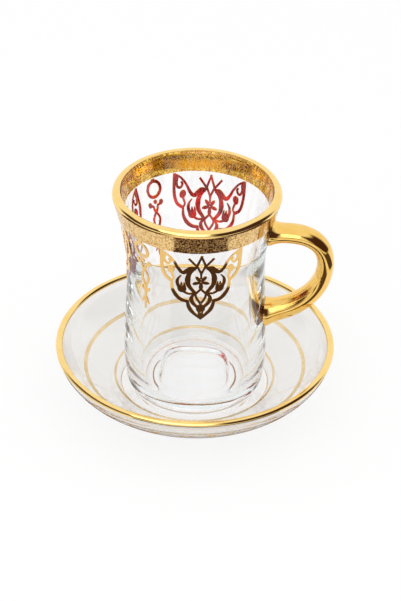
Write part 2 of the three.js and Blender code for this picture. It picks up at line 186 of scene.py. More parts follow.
def spline(points, steps):
    """Places along a smooth line through all the points."""
    last = len(points) - 1
    made = []
    for i in range(steps + 1):
        share = i / steps * last
        k = min(int(share), last - 1)
        four = (points[max(k - 1, 0)], points[k], points[k + 1], points[min(k + 2, last)])
        made.append(tuple(catmull_rom(share - k, *values) for values in zip(*four)))
    return made


def bezier(points, steps):
    """Places along a Bezier curve with these control points."""
    made = []
    for i in range(steps + 1):
        level = [Vector(p) for p in points]
        while len(level) > 1:
            level = [a.lerp(b, i / steps) for a, b in zip(level, level[1:])]
        made.append(tuple(level[0]))
    return made


def arc(centre, across, up, start, end, steps):
    """Places along part of an ellipse, with the angles in degrees."""
    made = []
    for i in range(steps + 1):
        angle = math.radians(start + (end - start) * i / steps)
        made.append((centre[0] + across * math.cos(angle), centre[1] + up * math.sin(angle)))
    return made


def radius_at(line, height):
    """The radius of a rising section line at one height."""
    for (r0, z0), (r1, z1) in zip(line, line[1:]):
        if z1 >= height:
            return r0 + (r1 - r0) * (height - z0) / (z1 - z0)
    return line[-1][0]


def film_section(line):
    """The closed section of a thin film that is bonded to a section line."""
    near = []
    far = []
    for i, (r, z) in enumerate(line):
        r0, z0 = line[max(i - 1, 0)]
        r1, z1 = line[min(i + 1, len(line) - 1)]
        outward = Vector((z1 - z0, r0 - r1)).normalized()
        near.append((r + outward.x * FILM_CONTACT, z + outward.y * FILM_CONTACT))
        far.append((r + outward.x * FILM_TOTAL, z + outward.y * FILM_TOTAL))
    return far + near[::-1]


def lip_film(centre, thickness, angle):
    """The closed section of the film over a rounded lip, between two arcs with one centre."""
    far = thickness / 2 + FILM_TOTAL - LIP_INSET
    near = thickness / 2 + FILM_CONTACT
    return arc(centre, far, far, 0, angle, LIP_STEPS) + arc(centre, near, near, angle, 0, LIP_STEPS)


# Section lines of the saucer and the glass

dish_lip_centre = (
    DISH_RADIUS - FILM_TOTAL - DISH_LIP_THICKNESS / 2,
    DISH_HEIGHT - FILM_TOTAL - DISH_LIP_THICKNESS / 2,
)
dish_lip = arc(dish_lip_centre, DISH_LIP_THICKNESS / 2, DISH_LIP_THICKNESS / 2, 0, 180, LIP_STEPS)
dish_upper = bezier([
    dish_lip[-1],
    (dish_lip[-1][0] - DISH_SIDE_LEAN, dish_lip[-1][1] - DISH_SIDE_RISE),
    (DISH_FLOOR_RADIUS + DISH_SLOPE_REACH, DISH_FLOOR_HEIGHT + DISH_SLOPE_RISE),
    (DISH_FLOOR_RADIUS, DISH_FLOOR_HEIGHT),
], DISH_UPPER_STEPS)
dish_underside = bezier([
    (FOOT_RADIUS, FOOT_EDGE),
    (UNDERSIDE_BELLY_RADIUS, UNDERSIDE_BELLY_HEIGHT),
    dish_lip[0],
], DISH_UNDERSIDE_STEPS)

glass_lip_centre = (
    GLASS_RIM_RADIUS - FILM_TOTAL - GLASS_LIP_THICKNESS / 2,
    GLASS_HEIGHT - FILM_TOTAL - GLASS_LIP_THICKNESS / 2,
)
glass_lip = arc(glass_lip_centre, GLASS_LIP_THICKNESS / 2, GLASS_LIP_THICKNESS / 2, 0, 180, LIP_STEPS)
band_bottom = glass_lip_centre[1] - BAND_LIP_GAP - BAND_WIDTH
glass_outer = spline([
    (HEEL_RADIUS, HEEL_HEIGHT),
    (BELLY_RADIUS, BELLY_HEIGHT),
    (WAIST_RADIUS, WAIST_HEIGHT),
    (SHOULDER_RADIUS, SHOULDER_HEIGHT),
    (FLARE_RADIUS, FLARE_HEIGHT),
    glass_lip[0],
], GLASS_OUTER_STEPS)


def dish_section():
    """The saucer's half section, from the axis under its floor round to the axis on its floor."""
    ceiling = DISH_FLOOR_HEIGHT - DISH_FLOOR_THICKNESS
    foot_inside = FOOT_RADIUS - FOOT_WIDTH
    return [
        (0, ceiling),
        (foot_inside - ceiling, ceiling),
        (foot_inside, 0),
        (FOOT_RADIUS - FOOT_EDGE / 2, 0),
        *dish_underside,
        *dish_lip[1:],
        *dish_upper[DISH_UPPER_SKIP::DISH_UPPER_SKIP],
        (0, DISH_FLOOR_HEIGHT),
    ]


def glass_inner():
    """The hollow's line, from the lip down the wall and round the cove to the shelf round the floor."""
    shelf = FLOOR_THICKNESS + FLOOR_STEP_RISE
    wall = spline([
        glass_lip[-1],
        (FLARE_RADIUS - WALL_AT_FLARE, FLARE_HEIGHT),
        (SHOULDER_RADIUS - WALL_AT_SHOULDER, SHOULDER_HEIGHT),
        (WAIST_RADIUS - WALL_AT_WAIST, WAIST_HEIGHT),
        (BELLY_RADIUS - WALL_AT_BELLY, BELLY_HEIGHT),
        (HOLLOW_FOOT_RADIUS, shelf + FLOOR_FILLET),
    ], GLASS_INNER_STEPS)
    middle = (HOLLOW_FOOT_RADIUS - FLOOR_FILLET, shelf + FLOOR_FILLET)
    fillet = arc(middle, FLOOR_FILLET, FLOOR_FILLET, 0, -90, FILLET_STEPS)
    return wall[1:] + fillet[1:]


def glass_sections():
    """The outside, the hollow's wall and its floor, as three lines that make one section of the glass."""
    heel_reach = HEEL_RADIUS - BASE_REST_RADIUS
    heel = arc((BASE_REST_RADIUS, HEEL_HEIGHT), heel_reach, HEEL_HEIGHT, -90, 0, HEEL_STEPS)
    outside = [
        (0, BASE_RECESS_DEPTH),
        (BASE_RECESS_RADIUS - BASE_RECESS_DEPTH, BASE_RECESS_DEPTH),
        (BASE_RECESS_RADIUS, 0),
        *heel,
        *glass_outer[1:],
        *glass_lip[1:],
    ]
    step = []
    for i in range(FLOOR_STEP_STEPS + 1):
        share = i / FLOOR_STEP_STEPS
        step.append((
            FLOOR_HALF_WIDTH + FLOOR_STEP_RUN * (1 - share),
            FLOOR_THICKNESS + FLOOR_STEP_RISE * (1 - ease(share)),
        ))
    floor = [(FLOOR_HALF_WIDTH * share, FLOOR_THICKNESS) for share in FLOOR_RING_SHARES]
    return outside, glass_inner(), step + floor


# Meshes

def turned(section, reach=None):
    """A section turned about the upright axis. reach(i, angle) stretches point i of the section outwards."""
    mesh = bmesh.new()
    rings = []
    for i, (r, z) in enumerate(section):
        if r == 0:
            rings.append([mesh.verts.new((0, 0, z))] * TURN_SIDES)
            continue
        ring = []
        for k in range(TURN_SIDES):
            angle = math.tau * k / TURN_SIDES
            radius = r * reach(i, angle) if reach else r
            ring.append(mesh.verts.new((radius * math.cos(angle), radius * math.sin(angle), z)))
        rings.append(ring)
    if section[0][0] > 0:
        rings.append(rings[0])
    for low, high in zip(rings, rings[1:]):
        for k in range(TURN_SIDES):
            after = (k + 1) % TURN_SIDES
            mesh.faces.new(dict.fromkeys((low[k], low[after], high[after], high[k])))
    return mesh


def square_reach(angle):
    """A rounded square's reach in one direction, as a multiple of its half width."""
    c = abs(math.cos(angle)) ** FLOOR_SQUARENESS
    s = abs(math.sin(angle)) ** FLOOR_SQUARENESS
    return (c + s) ** (-1 / FLOOR_SQUARENESS)


def glass_mesh():
    """The glass without its handle: round everywhere but on the floor of the hollow."""
    outside, wall, floor = glass_sections()
    round_points = len(outside) + len(wall)

    def reach(i, angle):
        return square_reach(angle) if i >= round_points else 1

    return turned(outside + wall + floor, reach=reach)


def handle_line():
    """The middle line of the handle, as many places close together."""
    bend = HANDLE_REACH - HANDLE_BEND_THICKNESS / 2
    root = HANDLE_ROOT_RADIUS
    upper = HANDLE_UPPER_HEIGHT
    lower = HANDLE_LOWER_HEIGHT
    turn = HANDLE_BEND_HEIGHT
    line = [(root, upper)]
    line += bezier([
        (HANDLE_BEND_START, upper),
        (HANDLE_BEND_START + (bend - HANDLE_BEND_START) * HANDLE_TOP_FULLNESS, upper),
        (bend, turn + (upper - turn) * HANDLE_SHOULDER_FULLNESS),
        (bend, turn),
    ], HANDLE_UPPER_STEPS)
    line += bezier([
        (bend, turn),
        (bend, lower + (turn - lower) * HANDLE_ELBOW_FULLNESS),
        (root + (bend - root) * HANDLE_LOWER_FULLNESS, lower + HANDLE_ROOT_LIFT),
        (root, lower),
    ], HANDLE_LOWER_STEPS)[1:]
    return line


def handle_place(line, lengths, t, angle):
    """A point of the handle's skin, at a share of its length and an angle round its section."""
    target = t * lengths[-1]
    k = next(i for i, length in enumerate(lengths) if length >= target or i == len(lengths) - 1)
    k = max(k, 1)
    share = (target - lengths[k - 1]) / (lengths[k] - lengths[k - 1])
    (x0, z0), (x1, z1) = line[k - 1], line[k]
    along = Vector((x1 - x0, z1 - z0)).normalized()
    middle_x = x0 + (x1 - x0) * share
    middle_z = z0 + (z1 - z0) * share
    flare = handle_flare(middle_x - radius_at(glass_outer, middle_z))
    across = math.cos(angle) * (handle_thickness(t) / 2 + flare)
    sideways = math.sin(angle) * (HANDLE_WIDTH / 2 + flare)
    return Vector((middle_x + along.y * across, sideways, middle_z - along.x * across))


def handle_flare(from_wall):
    """How far the handle swells where it melts into the wall."""
    near = max(0, 1 - max(from_wall, 0) / HANDLE_JOINT_LENGTH)
    return HANDLE_JOINT_FLARE * near * near


def handle_thickness(t):
    """The handle's thickness at a share of its length."""
    bend = HANDLE_BEND_SHARE
    if t < bend:
        return HANDLE_UPPER_THICKNESS + (HANDLE_BEND_THICKNESS - HANDLE_UPPER_THICKNESS) * ease(t / bend)
    share = ease((t - bend) / (1 - bend))
    return HANDLE_BEND_THICKNESS + (HANDLE_LOWER_THICKNESS - HANDLE_BEND_THICKNESS) * share


def handle_mesh():
    """The handle's skin, with both ends shaped to the round wall: face index 1 against the glass."""
    line = handle_line()
    lengths = [0]
    for a, b in zip(line, line[1:]):
        lengths.append(lengths[-1] + math.dist(a, b))

    def outside(t, angle):
        p = handle_place(line, lengths, t, angle)
        return math.hypot(p.x, p.y) > radius_at(glass_outer, p.z) + HANDLE_SEAT_GAP

    def crossing(angle, hidden, shown):
        for _ in range(HALVINGS):
            middle = (hidden + shown) / 2
            hidden, shown = (hidden, middle) if outside(middle, angle) else (middle, shown)
        return shown

    mesh = bmesh.new()
    rows = []
    clear_start, clear_end = HANDLE_CLEAR_SHARES
    for k in range(HANDLE_SIDES):
        angle = math.tau * k / HANDLE_SIDES
        first = crossing(angle, 0, clear_start)
        last = crossing(angle, 1, clear_end)
        row = []
        for i in range(HANDLE_STEPS + 1):
            t = first + (last - first) * i / HANDLE_STEPS
            row.append(mesh.verts.new(handle_place(line, lengths, t, angle)))
        rows.append(row)
    for k in range(HANDLE_SIDES):
        here, after = rows[k], rows[(k + 1) % HANDLE_SIDES]
        for i in range(HANDLE_STEPS):
            mesh.faces.new((here[i], here[i + 1], after[i + 1], after[i]))
    for end in (0, HANDLE_STEPS):
        joint = mesh.faces.new([row[end] for row in rows])
        joint.material_index = 1
    return mesh


# Ornament: flat shapes drawn with u to the right and v up, then bent round the glass

def ribbon(points, start, middle, end):
    """Pairs of small triangles along a smooth line, with its widths at the start, the middle and the end."""
    steps = RIBBON_STEPS * (len(points) - 1)
    places = [Vector(p) for p in spline(points, steps)]
    sides = []
    for i, here in enumerate(places):
        along = (places[min(i + 1, steps)] - places[max(i - 1, 0)]).normalized()
        t = i / steps
        width = middle + ((start if t < 0.5 else end) - middle) * abs(t - 0.5) * 2
        side = Vector((-along.y, along.x)) * width / 2
        sides.append((here + side, here - side))
    pieces = []
    for (left, right), (next_left, next_right) in zip(sides, sides[1:]):
        pieces.append((left, right, next_right))
        pieces.append((left, next_right, next_left))
    return pieces


def oval(u, v, half_width, half_height, turn=0):
    """A filled oval about (u, v), turned by an angle in radians."""
    spin = Matrix.Rotation(turn, 2)
    loop = arc((0, 0), half_width, half_height, 0, 360, OVAL_SIDES)[:-1]
    return [tuple(spin @ Vector(p) + Vector((u, v)) for p in loop)]


def oval_ring(u, v, half_width, half_height, width):
    """An oval line of even width, as small four-sided pieces."""
    outer = arc((u, v), half_width, half_height, 0, 360, RING_SIDES)
    inner = arc((u, v), half_width - width, half_height - width, 0, 360, RING_SIDES)
    outer = [Vector(p) for p in outer]
    inner = [Vector(p) for p in inner]
    return [(inner[i], outer[i], outer[i + 1], inner[i + 1]) for i in range(RING_SIDES)]


def petals(u, v, count, length, width, first_angle):
    """Long ovals round (u, v), like the petals of a flower."""
    reach = length * PETAL_REACH_SHARE
    shapes = []
    for i in range(count):
        angle = first_angle + i * math.tau / count
        shapes += oval(u + math.cos(angle) * reach, v + math.sin(angle) * reach, length / 2, width / 2, angle)
    return shapes


def medallion_half():
    """The right half of a medallion, from its tip at v = 0 up to the band."""
    return [
        # Outer edge: wing, side lobe and tip
        *ribbon([(16.7, 34), (16.6, 29), (16.2, 24.2), (14.8, 20.4), (11.8, 18)], 1.2, 1.5, 1.4),
        *ribbon([(12, 18.2), (11.8, 14.6), (10.2, 11.4), (7.9, 9.4), (5, 8.8)], 1, 1.8, 1.5),
        *ribbon([(5.4, 9.2), (4.8, 6.2), (3.2, 3.6), (0, 0.5)], 1.3, 1.8, 0.9),
        # Inner edge of the wing, and its curl to the middle
        *ribbon([(16.4, 33.6), (13.4, 31.6), (10.9, 28.5), (9.5, 25.8), (8.2, 24)], 0.8, 1.1, 1.6),
        *ribbon([(8.7, 24.3), (7.1, 23.6), (5.6, 24.8), (4, 26.2), (2, 26)], 1.5, 2.2, 1.8),
        # Arch round the flower
        *ribbon([(2, 26.8), (4.6, 23.6), (5.4, 20), (4.8, 16.6), (2.2, 13)], 1.2, 2.4, 1.3),
        # Crossed lines above the flower
        *ribbon([(-0.2, 33), (1.8, 27.3)], 1, 1, 1.1),
        *ribbon([(1.9, 27.8), (-0.2, 22.9)], 1.1, 1, 1),
        *ribbon([(5.1, 31.4), (1.5, 26.8)], 1, 1, 1),
        # Diamond under the flower, and a leaf beside it
        *ribbon([(-0.3, 15.4), (2.2, 12.6)], 1, 1, 1.1),
        *ribbon([(2.1, 13), (1.8, 10.8), (-0.2, 7.4)], 1, 1, 1.1),
        *ribbon([(2.5, 12.8), (3.8, 10.6), (3.2, 8.2), (0.8, 5.6)], 0.9, 1.9, 1.1),
        # Side bud on its stem, with three leaves
        *ribbon([(2.4, 13), (5, 12.6), (7, 13.6)], 0.9, 1, 1.2),
        *oval(7.7, 14.9, 1.9, 1.9, -0.3),
        *ribbon([(6.8, 14.8), (6.6, 16.4), (6.9, 18.4)], 1.8, 1.2, 0.4),
        *ribbon([(7.7, 15.2), (8, 18.4)], 1.8, 1.2, 0.4),
        *ribbon([(8.6, 15), (9.6, 17.6), (9.4, 20), (8.1, 22)], 1.6, 1.4, 0.5),
        # Bud of the wing on its stem
        *ribbon([(12, 18.2), (11.3, 20), (11.9, 22), (12.4, 24)], 0.9, 1, 1.2),
        *oval(12.4, 24.4, 1.5, 1.9, 0.2),
        # Corner of the wing, and its curl
        *ribbon([(16.2, 33.4), (15.7, 31.6), (15.6, 29.8)], 0.6, 2.2, 1.2),
        *ribbon([(15.6, 30.2), (15, 28), (13.6, 27.4), (12.7, 28.8), (13.4, 30)], 1.2, 1.1, 1),
    ]


def medallion_middle():
    """The flower, bud and tip on a medallion's middle line."""
    return [
        *ribbon([(0, 24), (0, 20.4)], 1.1, 0.9, 0.9),
        *petals(0, 18.8, 5, 3.5, 1.6, -math.pi / 2),
        *ribbon([(0, 17), (0, 14.8)], 1.6, 1.8, 1),
        *oval(0, 5.4, 1.9, 2),
        *ribbon([(0, 4.8), (0, 0)], 2.4, 2.2, 0.5),
    ]


def pendant_half():
    """The right half of a pendant, from its tip at v = 0 up to the band."""
    return [
        # Branch with its bud
        *ribbon([(-0.1, 19), (0.9, 21), (1.3, 22.4), (2.8, 22.9)], 1.4, 1, 1.2),
        *oval(3, 23.4, 1, 1.3, -0.3),
        # Loop, and the curl under it
        *ribbon([(-0.1, 19.6), (1.6, 16.6), (1.3, 13.6), (-0.1, 10.6)], 1, 1.1, 1),
        *ribbon([(0, 9.8), (1.4, 9.3), (2.1, 10.7)], 1.2, 1.1, 0.8),
        # Barb of the arrow
        *ribbon([(0, 6), (2, 2.8)], 1.2, 1.1, 0.4),
    ]


def pendant_middle():
    """The ring, knob, bud and arrow on a pendant's middle line."""
    return [
        *oval_ring(0, 29.9, 4.1, 4.2, 1.4),
        *ribbon([(0, 34.5), (0, 33.4)], 2, 1.8, 1.4),
        *oval(0, 24.2, 0.9, 1),
        *ribbon([(0, 11.2), (0, 0)], 1.5, 1.1, 0.6),
    ]


def joined_shapes(half, middle, width, height):
    """All the shapes and the mirrored half as one sheet of a set size: its places and its triangles."""
    mirrored = [tuple(Vector((-p.x, p.y)) for p in shape) for shape in half]
    places = []
    faces = []
    for shape in half + mirrored + middle:
        loop = list(range(len(places), len(places) + len(shape)))
        turning = sum(a.cross(b) for a, b in zip(shape, shape[1:] + shape[:1]))
        faces.append(loop if turning > 0 else loop[::-1])
        places += shape
    inside_only = 1
    made, _, pieces, _, _, origins = delaunay_2d_cdt(places, [], faces, inside_only, MERGE_DISTANCE)
    triangles = [face for face, origin in zip(pieces, origins) if origin]
    left = min(p.x for p in made)
    right = max(p.x for p in made)
    low = min(p.y for p in made)
    high = max(p.y for p in made)
    fitted = []
    for p in made:
        fitted.append(Vector((p.x * width / (right - left), (p.y - low) * height / (high - low))))
    return fitted, triangles


def bent_mesh(sheet, height, angle_degrees):
    """The sheet as a thin film on the glass: face index 0 outside and 1 against the glass."""
    places, triangles = sheet
    foot = band_bottom - ORNAMENT_GAP - height
    middle = math.radians(angle_degrees)
    mesh = bmesh.new()

    def layer(offset):
        made = []
        for p in places:
            wall = radius_at(glass_outer, foot + p.y)
            angle = middle + p.x / wall
            r = wall + offset
            made.append(mesh.verts.new((r * math.cos(angle), r * math.sin(angle), foot + p.y)))
        return made

    outer = layer(FILM_TOTAL)
    inner = layer(FILM_CONTACT)
    rims = {}
    for a, b, c in triangles:
        mesh.faces.new((outer[a], outer[b], outer[c]))
        back = mesh.faces.new((inner[c], inner[b], inner[a]))
        back.material_index = 1
        for edge in ((a, b), (b, c), (c, a)):
            if edge[::-1] in rims:
                del rims[edge[::-1]]
            else:
                rims[edge] = True
    for a, b in rims:
        mesh.faces.new((outer[b], outer[a], inner[a], inner[b]))
    return mesh


def piece(name, mesh, node, body, slot, *materials):
    """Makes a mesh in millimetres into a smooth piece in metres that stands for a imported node."""
    if body == "glass":
        bmesh.ops.translate(mesh, verts=mesh.verts, vec=(0, 0, GLASS_LIFT))
    bmesh.ops.scale(mesh, verts=mesh.verts, vec=(MM, MM, MM))
    loose = [v for v in mesh.verts if not v.link_faces]
    bmesh.ops.delete(mesh, geom=loose, context="VERTS")
    bmesh.ops.recalc_face_normals(mesh, faces=mesh.faces)
    data = bpy.data.meshes.new(name)
    mesh.to_mesh(data)
    mesh.free()
    data.shade_smooth()
    data.set_sharp_from_angle(angle=math.radians(SHARP_EDGE_ANGLE))
    for material in materials:
        data.materials.append(material)
    made = bpy.data.objects.new(name, data)
    bpy.context.scene.collection.objects.link(made)
    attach(made, body)
    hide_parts(node)


# Materials: waves are counted per metre, and depths are in millimetres

GLASS_IOR = 1.5
RIPPLE_WAVES = 90
RIPPLE_STRETCH = (1, 1, 0.35)
RIPPLE_DEPTH = 0.6
RIPPLE_STRENGTH = 0.15
DEPTH_LOSS_COLOUR = (0.72, 0.8, 0.81)
CLOUD_WAVES = 160
CLOUD_RANGE = (0.3, 0.7)
GRAIN_WAVES = 420
GRAIN_DEPTH = 0.12
GRAIN_STRENGTH = 0.12
TRACERY_WAVES = 780
TRACERY_LEVEL = 0.5
TRACERY_LINE = (0.025, 0.07)
TRACERY_ROUGHNESS = (0.07, 0.5)
TRACERY_DEPTH = 0.05
TRACERY_STRENGTH = -0.3


def new_material(name):
    """A new material with its node tree and its main shader."""
    material = bpy.data.materials.new(name)
    material.use_nodes = True
    tree = material.node_tree
    return material, tree, tree.nodes["Principled BSDF"]


def add(tree, kind, **values):
    """A new node with some of its inputs set by name."""
    node = tree.nodes.new(kind)
    for name, value in values.items():
        node.inputs[name.replace("_", " ")].default_value = value
    return node


def noise(tree, scale, detail=2.0, stretch=(1, 1, 1)):
    """Cloudy values over the object's own coordinates, with the scale in waves per metre."""
    place = tree.nodes.new("ShaderNodeTexCoord")
    mapping = add(tree, "ShaderNodeMapping", Scale=stretch)
    made = add(tree, "ShaderNodeTexNoise", Scale=scale, Detail=detail)
    tree.links.new(place.outputs["Object"], mapping.inputs["Vector"])
    tree.links.new(mapping.outputs["Vector"], made.inputs["Vector"])
    return made.outputs["Fac"]


def spread(tree, value, low, high, to_low, to_high):
    """Stretches a value from one range to another."""
    node = add(tree, "ShaderNodeMapRange", From_Min=low, From_Max=high, To_Min=to_low, To_Max=to_high)
    tree.links.new(value, node.inputs["Value"])
    return node.outputs["Result"]


def two_colours(tree, share, first, second):
    """The first colour where the share is 0, the second where it is 1."""
    ramp = tree.nodes.new("ShaderNodeValToRGB")
    ramp.color_ramp.elements[0].color = (*first, 1)
    ramp.color_ramp.elements[1].color = (*second, 1)
    tree.links.new(share, ramp.inputs["Fac"])
    return ramp.outputs["Color"]


def combined(tree, operation, first, second):
    """The result of a named operation on two values."""
    node = tree.nodes.new("ShaderNodeMath")
    node.operation = operation
    tree.links.new(first, node.inputs[0])
    tree.links.new(second, node.inputs[1])
    return node.outputs[0]


def bump(tree, shader, height, depth, strength):
    """Makes a shader's surface uneven, with the depth in millimetres."""
    node = add(tree, "ShaderNodeBump", Distance=depth * MM, Strength=strength)
    tree.links.new(height, node.inputs["Height"])
    tree.links.new(node.outputs["Normal"], shader.inputs["Normal"])


def glass_material(name, tint, shade, depth_loss=0):
    """Clear pressed glass with faint ripples. It lets most of a lamp's light through to what is behind.

    depth_loss greys the light that runs a long way inside the glass, such as along a wall.
    """
    material, tree, shader = new_material(name)
    shader.inputs["Base Color"].default_value = (*tint, 1)
    shader.inputs["Roughness"].default_value = 0.0
    shader.inputs["IOR"].default_value = GLASS_IOR
    shader.inputs["Transmission Weight"].default_value = 1.0
    ripple = noise(tree, RIPPLE_WAVES, detail=1.0, stretch=RIPPLE_STRETCH)
    bump(tree, shader, ripple, RIPPLE_DEPTH, RIPPLE_STRENGTH)
    lamps = tree.nodes.new("ShaderNodeLightPath")
    clear = add(tree, "ShaderNodeBsdfTransparent", Color=(shade, shade, shade, 1))
    mix = tree.nodes.new("ShaderNodeMixShader")
    tree.links.new(lamps.outputs["Is Shadow Ray"], mix.inputs["Fac"])
    tree.links.new(shader.outputs["BSDF"], mix.inputs[1])
    tree.links.new(clear.outputs["BSDF"], mix.inputs[2])
    tree.links.new(mix.outputs["Shader"], tree.nodes["Material Output"].inputs["Surface"])
    if depth_loss:
        colour = (*DEPTH_LOSS_COLOUR, 1)
        grey = add(tree, "ShaderNodeVolumeAbsorption", Color=colour, Density=depth_loss)
        tree.links.new(grey.outputs["Volume"], tree.nodes["Material Output"].inputs["Volume"])
    return material


def gold_material(name, light, deep, smooth, dull):
    """Bright gilding with a soft unevenness in its colour and polish."""
    material, tree, shader = new_material(name)
    shader.inputs["Metallic"].default_value = 1.0
    cloud = noise(tree, CLOUD_WAVES, detail=3.0)
    even = spread(tree, cloud, *CLOUD_RANGE, 0, 1)
    tree.links.new(two_colours(tree, even, light, deep), shader.inputs["Base Color"])
    tree.links.new(spread(tree, cloud, *CLOUD_RANGE, smooth, dull), shader.inputs["Roughness"])
    bump(tree, shader, noise(tree, GRAIN_WAVES), GRAIN_DEPTH, GRAIN_STRENGTH)
    return material


def etched_material(name, light, deep):
    """Gold with a dense matte tracery of curling lines etched into its polish."""
    material, tree, shader = new_material(name)
    shader.inputs["Metallic"].default_value = 1.0
    cloud = noise(tree, TRACERY_WAVES, detail=1.5)
    near = tree.nodes.new("ShaderNodeMath")
    near.operation = "SUBTRACT"
    near.inputs[1].default_value = TRACERY_LEVEL
    tree.links.new(cloud, near.inputs[0])
    away = tree.nodes.new("ShaderNodeMath")
    away.operation = "ABSOLUTE"
    tree.links.new(near.outputs[0], away.inputs[0])
    lines = spread(tree, away.outputs[0], *TRACERY_LINE, 1, 0)
    tree.links.new(two_colours(tree, lines, light, deep), shader.inputs["Base Color"])
    tree.links.new(spread(tree, lines, 0, 1, *TRACERY_ROUGHNESS), shader.inputs["Roughness"])
    bump(tree, shader, lines, TRACERY_DEPTH, TRACERY_STRENGTH)
    return material


# Glass: its tint, the share of a lamp's light that it lets through and its loss in depth
glass = glass_material("clear_glass", (1.0, 1.0, 1.0), 0.9, depth_loss=10)
dish_glass = glass_material("clear_dish_glass", (1.0, 1.0, 1.0), 0.88)
# Darker glass on the saucer's foot and flank: painted shade, for the grey of the underside.
flank_painted_shade_glass = glass_material("painted_shade_dish_glass", (0.78, 0.75, 0.71), 0.88)
# Gold: its light and deep colours, and its roughness where it is smooth and where it is dull
bright_gold = gold_material("bright_gold", (0.97, 0.66, 0.20), (0.91, 0.55, 0.13), 0.07, 0.13)
lip_gold = gold_material("lip_gold", (1.0, 0.74, 0.30), (0.96, 0.66, 0.22), 0.07, 0.12)
amber_gold = gold_material("amber_gold", (1.0, 0.68, 0.15), (0.97, 0.57, 0.09), 0.10, 0.2)
pale_gold = gold_material("pale_gold", (0.86, 0.70, 0.43), (0.81, 0.61, 0.33), 0.22, 0.34)
print_gold = gold_material("print_gold", (0.88, 0.58, 0.22), (0.80, 0.50, 0.16), 0.05, 0.09)
print_red = gold_material("print_red", (0.86, 0.055, 0.04), (0.17, 0.008, 0.010), 0.12, 0.2)
joint_brown = gold_material("joint_brown", (0.24, 0.065, 0.018), (0.13, 0.032, 0.010), 0.2, 0.35)
etched_gold = etched_material("etched_gold", (0.88, 0.60, 0.26), (0.70, 0.44, 0.17))
etched_amber = etched_material("etched_amber", (1.0, 0.66, 0.12), (0.93, 0.50, 0.07))


# Pieces of the saucer

def saucer_line(radius, width):
    """A short stretch of the saucer's upper line, for a painted line on it."""
    return film_section([p for p in dish_upper if abs(p[0] - radius) <= width / 2])


def lip_mesh(centre, thickness, angle):
    """Gold over a rounded lip: face index 0 outside and 1 against the glass."""
    mesh = turned(lip_film(centre, thickness, angle))
    for face in mesh.faces:
        middle = face.calc_center_median()
        from_centre = math.dist((math.hypot(middle.x, middle.y), middle.z), centre)
        if from_centre < thickness / 2 + FILM_BACK_TOLERANCE:
            face.material_index = 1
    return mesh


def dish_mesh():
    """The saucer's glass: face index 1 on its foot and the flank above it, which get darker glass as painted
    shade.
    """
    mesh = turned(dish_section())
    for face in mesh.faces:
        middle = face.calc_center_median()
        radius = math.hypot(middle.x, middle.y)
        on_flank = abs(radius - radius_at(dish_underside, middle.z)) < FLANK_TOLERANCE
        if radius > FOOT_RADIUS - FOOT_WIDTH and (on_flank or middle.z < FOOT_EDGE):
            face.material_index = 1
    return mesh


piece("saucer_glass", dish_mesh(), "saucer_dish", "saucer", "clear_glass", dish_glass, flank_painted_shade_glass)
piece(
    "saucer_gilt_rim", lip_mesh(dish_lip_centre, DISH_LIP_THICKNESS, DISH_LIP_GOLD_ANGLE),
    "saucer_rim_gold", "saucer", "gold", lip_gold, amber_gold,
)
piece(
    "saucer_wide_line", turned(saucer_line(OUTER_LINE_RADIUS, OUTER_LINE_WIDTH)),
    "saucer_outer_line", "saucer", "pale_gold", pale_gold,
)
piece(
    "saucer_fine_line", turned(saucer_line(INNER_LINE_RADIUS, INNER_LINE_WIDTH)),
    "saucer_inner_line", "saucer", "pale_gold", pale_gold,
)


# Pieces of the glass

def band_mesh():
    """The etched band: face index 0 outside and 1 against the glass."""
    top = glass_lip_centre[1] - FILM_SEAM
    line = []
    for i in range(BAND_STEPS + 1):
        height = band_bottom + (top - band_bottom) * i / BAND_STEPS
        line.append((radius_at(glass_outer, height), height))
    mesh = turned(film_section(line))
    for face in mesh.faces:
        middle = face.calc_center_median()
        wall = radius_at(glass_outer, middle.z)
        if math.hypot(middle.x, middle.y) < wall + FILM_BACK_TOLERANCE:
            face.material_index = 1
    return mesh


piece("glass_cup", glass_mesh(), "glass_body", "glass", "clear_glass", glass)
piece("gilded_handle", handle_mesh(), "handle", "glass", "gilded_glass", bright_gold, joint_brown)
piece(
    "gilt_lip", lip_mesh(glass_lip_centre, GLASS_LIP_THICKNESS, GLASS_LIP_GOLD_ANGLE),
    "rim_lip_gold", "glass", "gold", lip_gold, amber_gold,
)
piece("etched_band", band_mesh(), "rim_band_gold", "glass", "etched_gold", etched_gold, etched_amber)

medallion = joined_shapes(medallion_half(), medallion_middle(), MEDALLION_WIDTH, MEDALLION_HEIGHT)
pendant = joined_shapes(pendant_half(), pendant_middle(), PENDANT_WIDTH, PENDANT_HEIGHT)
ORNAMENTS = [
    ("medallion_front", medallion, MEDALLION_HEIGHT, -MEDALLION_ANGLE),
    ("medallion_left", medallion, MEDALLION_HEIGHT, 180),
    ("medallion_back", medallion, MEDALLION_HEIGHT, MEDALLION_ANGLE),
    ("pendant_front", pendant, PENDANT_HEIGHT, -PENDANT_ANGLE),
    ("pendant_back", pendant, PENDANT_HEIGHT, PENDANT_ANGLE),
]
for node, sheet, height, angle in ORNAMENTS:
    mesh = bent_mesh(sheet, height, angle)
    piece("printed_" + node, mesh, node, "glass", "gold", print_gold, print_red)


# Studio: floor, light and camera

TABLE_SIZE = 6000
TABLE_PARTS = 8
TABLE_WHITE_SHARE = 0.82
SHEET_HEIGHT = 0.6
SHEET_STEPS = 48
SHADE_INNER_RADIUS = 36
SHADE_OUTER_RADIUS = 62
CLOTH_INNER_RADIUS = 72
CLOTH_OUTER_RADIUS = 138
CLOTH_INNER_SPAN = (-26, 43)
CLOTH_OUTER_SPAN = (-34, 59)
FULL_TURN = (-180, 180)
SIDE_CLOTH_FRONT = -400
SIDE_CLOTH_BACK = 60
SIDE_CLOTH_WIDTH = 2500
LEFT_CLOTH_EDGE = -150
RIGHT_CLOTH_EDGE = 158
DARK_COLOUR = (0.06, 0.028, 0.022)
